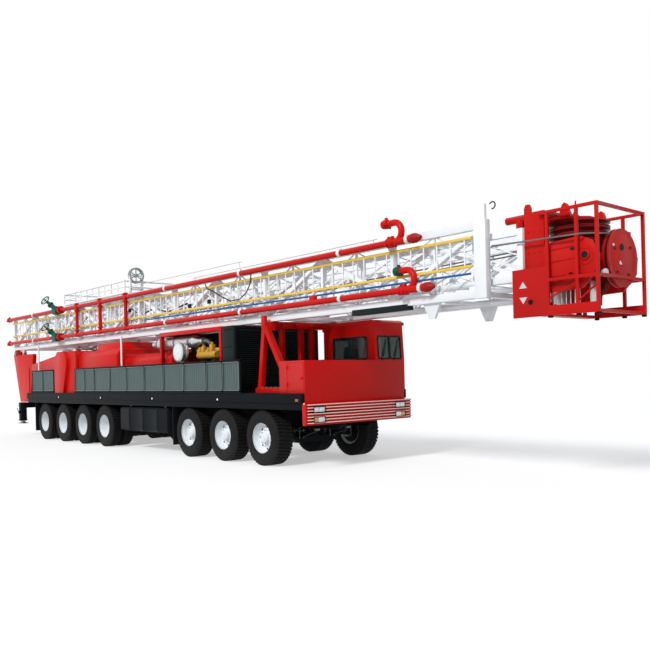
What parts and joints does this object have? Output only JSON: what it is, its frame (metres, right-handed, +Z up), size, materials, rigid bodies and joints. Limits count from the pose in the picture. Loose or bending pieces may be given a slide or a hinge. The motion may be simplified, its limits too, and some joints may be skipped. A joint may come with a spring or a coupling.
{
  "type": "workover rig",
  "caption": "Truck-mounted workover rig parked with its telescopic lattice mast laid over a half-width cab, winch housings amidships and folded side platforms.",
  "frame": {"origin": "on the ground under the middle of the whole machine's box", "axes": "+X forward to the front bumper, +Y to the driver's side, +Z up"},
  "size_m": [23.48, 2.9, 4.9895],
  "materials": {
    "rig_red": "gloss paint",
    "mast_white": "gloss paint",
    "chassis_black": "satin paint",
    "platform_grey": "matt paint over mesh",
    "tyre_rubber": "worn rubber",
    "engine_yellow": "gloss paint",
    "bright_steel": "bright metal"
  },
  "bodies": {
    "carrier": {"chassis_frame": "chassis_black", "deck": "chassis_black", "front_axle_1": "chassis_black", "front_axle_2": "chassis_black", "front_axle_3": "chassis_black", "rear_bogie_1": "chassis_black", "rear_bogie_2": "chassis_black", "fuel_tank_left": "chassis_black", "fuel_tank_right": "chassis_black", "front_locker": "rig_red", "bumper": "rig_red", "cab": "rig_red", "mast_support": "rig_red", "radiator": "chassis_black", "engine": "engine_yellow", "engine_canopy": "rig_red", "silencer": "bright_steel", "air_filter": "mast_white", "drum_housing": "rig_red", "sand_drum_housing": "rig_red", "gear_housing": "rig_red", "mast_base": "rig_red"},
    "lower_mast": {"lower_mast": "mast_white", "ladder": "engine_yellow", "standpipes": "rig_red"},
    "upper_mast": {"upper_mast": "mast_white", "working_board": "mast_white", "crown_frame": "rig_red"},
    "crown_sheaves": {"crown_sheaves": "rig_red"},
    "fast_sheave": {"fast_sheave": "rig_red"},
    "raising_barrels": {"raising_barrels": "chassis_black"},
    "raising_stages": {"raising_stages": "bright_steel"},
    "raising_rods": {"raising_rods": "bright_steel"},
    "cab_door": {"cab_door": "rig_red"},
    "jack_leg_left": {"jack_leg_left": "bright_steel"},
    "jack_leg_right": {"jack_leg_right": "bright_steel"},
    "wheel_left_1": {"wheel_left_1": "tyre_rubber"},
    "knuckle_left_1": {"knuckle_left_1": "chassis_black"},
    "wheel_right_1": {"wheel_right_1": "tyre_rubber"},
    "knuckle_right_1": {"knuckle_right_1": "chassis_black"},
    "wheel_left_2": {"wheel_left_2": "tyre_rubber"},
    "knuckle_left_2": {"knuckle_left_2": "chassis_black"},
    "wheel_right_2": {"wheel_right_2": "tyre_rubber"},
    "knuckle_right_2": {"knuckle_right_2": "chassis_black"},
    "wheel_left_3": {"wheel_left_3": "tyre_rubber"},
    "knuckle_left_3": {"knuckle_left_3": "chassis_black"},
    "wheel_right_3": {"wheel_right_3": "tyre_rubber"},
    "knuckle_right_3": {"knuckle_right_3": "chassis_black"},
    "wheel_left_4": {"wheel_left_4": "tyre_rubber"},
    "wheel_right_4": {"wheel_right_4": "tyre_rubber"},
    "wheel_left_5": {"wheel_left_5": "tyre_rubber"},
    "wheel_right_5": {"wheel_right_5": "tyre_rubber"},
    "wheel_left_6": {"wheel_left_6": "tyre_rubber"},
    "wheel_right_6": {"wheel_right_6": "tyre_rubber"},
    "wheel_left_7": {"wheel_left_7": "tyre_rubber"},
    "wheel_right_7": {"wheel_right_7": "tyre_rubber"},
    "platform_left_rear": {"platform_left_rear": "platform_grey"},
    "platform_left_front": {"platform_left_front": "platform_grey"},
    "platform_right_rear": {"platform_right_rear": "platform_grey"},
    "platform_right_front": {"platform_right_front": "platform_grey"}
  },
  "joints": [
    {"name": "steer_left_1", "type": "hinge", "parent": "carrier", "child": "knuckle_left_1", "pos_m": [4.545, 0.93, 0.57], "axis": [0, 0, 1], "range_deg": [-30, 30]},
    {"name": "spin_left_1", "type": "hinge", "parent": "knuckle_left_1", "child": "wheel_left_1", "pos_m": [4.545, 1.21, 0.57], "axis": [0, 1, 0], "continuous": true},
    {"name": "steer_right_1", "type": "hinge", "parent": "carrier", "child": "knuckle_right_1", "pos_m": [4.545, -0.93, 0.57], "axis": [0, 0, 1], "range_deg": [-30, 30]},
    {"name": "spin_right_1", "type": "hinge", "parent": "knuckle_right_1", "child": "wheel_right_1", "pos_m": [4.545, -1.21, 0.57], "axis": [0, 1, 0], "continuous": true},
    {"name": "steer_left_2", "type": "hinge", "parent": "carrier", "child": "knuckle_left_2", "pos_m": [3.095, 0.93, 0.57], "axis": [0, 0, 1], "range_deg": [-24, 24]},
    {"name": "spin_left_2", "type": "hinge", "parent": "knuckle_left_2", "child": "wheel_left_2", "pos_m": [3.095, 1.21, 0.57], "axis": [0, 1, 0], "continuous": true},
    {"name": "steer_right_2", "type": "hinge", "parent": "carrier", "child": "knuckle_right_2", "pos_m": [3.095, -0.93, 0.57], "axis": [0, 0, 1], "range_deg": [-24, 24]},
    {"name": "spin_right_2", "type": "hinge", "parent": "knuckle_right_2", "child": "wheel_right_2", "pos_m": [3.095, -1.21, 0.57], "axis": [0, 1, 0], "continuous": true},
    {"name": "steer_left_3", "type": "hinge", "parent": "carrier", "child": "knuckle_left_3", "pos_m": [1.645, 0.93, 0.57], "axis": [0, 0, 1], "range_deg": [-18, 18]},
    {"name": "spin_left_3", "type": "hinge", "parent": "knuckle_left_3", "child": "wheel_left_3", "pos_m": [1.645, 1.21, 0.57], "axis": [0, 1, 0], "continuous": true},
    {"name": "steer_right_3", "type": "hinge", "parent": "carrier", "child": "knuckle_right_3", "pos_m": [1.645, -0.93, 0.57], "axis": [0, 0, 1], "range_deg": [-18, 18]},
    {"name": "spin_right_3", "type": "hinge", "parent": "knuckle_right_3", "child": "wheel_right_3", "pos_m": [1.645, -1.21, 0.57], "axis": [0, 1, 0], "continuous": true},
    {"name": "spin_left_4", "type": "hinge", "parent": "carrier", "child": "wheel_left_4", "pos_m": [-2.865, 1.095, 0.57], "axis": [0, 1, 0], "continuous": true},
    {"name": "spin_right_4", "type": "hinge", "parent": "carrier", "child": "wheel_right_4", "pos_m": [-2.865, -1.095, 0.57], "axis": [0, 1, 0], "continuous": true},
    {"name": "spin_left_5", "type": "hinge", "parent": "carrier", "child": "wheel_left_5", "pos_m": [-4.315, 1.095, 0.57], "axis": [0, 1, 0], "continuous": true},
    {"name": "spin_right_5", "type": "hinge", "parent": "carrier", "child": "wheel_right_5", "pos_m": [-4.315, -1.095, 0.57], "axis": [0, 1, 0], "continuous": true},
    {"name": "spin_left_6", "type": "hinge", "parent": "carrier", "child": "wheel_left_6", "pos_m": [-5.765, 1.095, 0.57], "axis": [0, 1, 0], "continuous": true},
    {"name": "spin_right_6", "type": "hinge", "parent": "carrier", "child": "wheel_right_6", "pos_m": [-5.765, -1.095, 0.57], "axis": [0, 1, 0], "continuous": true},
    {"name": "spin_left_7", "type": "hinge", "parent": "carrier", "child": "wheel_left_7", "pos_m": [-7.215, 1.095, 0.57], "axis": [0, 1, 0], "continuous": true},
    {"name": "spin_right_7", "type": "hinge", "parent": "carrier", "child": "wheel_right_7", "pos_m": [-7.215, -1.095, 0.57], "axis": [0, 1, 0], "continuous": true},
    {"name": "fold_left_rear", "type": "hinge", "parent": "carrier", "child": "platform_left_rear", "pos_m": [0.185, 1.436, 1.4998], "axis": [-1, 0, 0], "range_deg": [0, 90]},
    {"name": "fold_left_front", "type": "hinge", "parent": "carrier", "child": "platform_left_front", "pos_m": [0.185, 1.436, 1.4998], "axis": [-1, 0, 0], "range_deg": [0, 90]},
    {"name": "fold_right_rear", "type": "hinge", "parent": "carrier", "child": "platform_right_rear", "pos_m": [0.185, -1.436, 1.4998], "axis": [1, 0, 0], "range_deg": [0, 90]},
    {"name": "fold_right_front", "type": "hinge", "parent": "carrier", "child": "platform_right_front", "pos_m": [0.185, -1.436, 1.4998], "axis": [1, 0, 0], "range_deg": [0, 90]},
    {"name": "mast_raise", "type": "hinge", "parent": "carrier", "child": "lower_mast", "pos_m": [-10.855, 0, 2.88], "axis": [0, -1, 0], "range_deg": [0, 93.5]},
    {"name": "mast_extend", "type": "slide", "parent": "lower_mast", "child": "upper_mast", "axis": [1, 0, 0], "range_m": [0, 14.5]},
    {"name": "crown_spin", "type": "hinge", "parent": "upper_mast", "child": "crown_sheaves", "pos_m": [11.035, 0, 3.85], "axis": [0, 0, 1], "continuous": true},
    {"name": "fast_spin", "type": "hinge", "parent": "upper_mast", "child": "fast_sheave", "pos_m": [11.115, 0.1, 3.2], "axis": [0, 1, 0], "continuous": true},
    {"name": "barrel_swing", "type": "hinge", "parent": "carrier", "child": "raising_barrels", "pos_m": [-9.315, 0, 1], "axis": [0, -1, 0], "range_deg": [0, 66]},
    {"name": "stage_slide", "type": "slide", "parent": "raising_barrels", "child": "raising_stages", "axis": [0.7433, 0, 0.669], "range_m": [0, 1.49]},
    {"name": "rod_slide", "type": "slide", "parent": "raising_stages", "child": "raising_rods", "axis": [0.7433, 0, 0.669], "range_m": [0, 1.49]},
    {"name": "door_hinge", "type": "hinge", "parent": "carrier", "child": "cab_door", "pos_m": [5.357, 1.4097, 1.62], "axis": [0, 0, -1], "range_deg": [0, 75]},
    {"name": "jack_left_slide", "type": "slide", "parent": "carrier", "child": "jack_leg_left", "axis": [0, 0, -1], "range_m": [0, 0.38]},
    {"name": "jack_right_slide", "type": "slide", "parent": "carrier", "child": "jack_leg_right", "axis": [0, 0, -1], "range_m": [0, 0.38]}
  ],
  "couplings": [
    {"joint": "steer_right_1", "follows": "steer_left_1", "ratio": 1},
    {"joint": "steer_left_2", "follows": "steer_left_1", "ratio": 0.8},
    {"joint": "steer_right_2", "follows": "steer_left_1", "ratio": 0.8},
    {"joint": "steer_left_3", "follows": "steer_left_1", "ratio": 0.6},
    {"joint": "steer_right_3", "follows": "steer_left_1", "ratio": 0.6},
    {"joint": "barrel_swing", "follows": "mast_raise", "ratio": 0.70411},
    {"joint": "stage_slide", "follows": "mast_raise", "m_per_rad": 0.90852},
    {"joint": "rod_slide", "follows": "mast_raise", "m_per_rad": 0.90852}
  ]
}
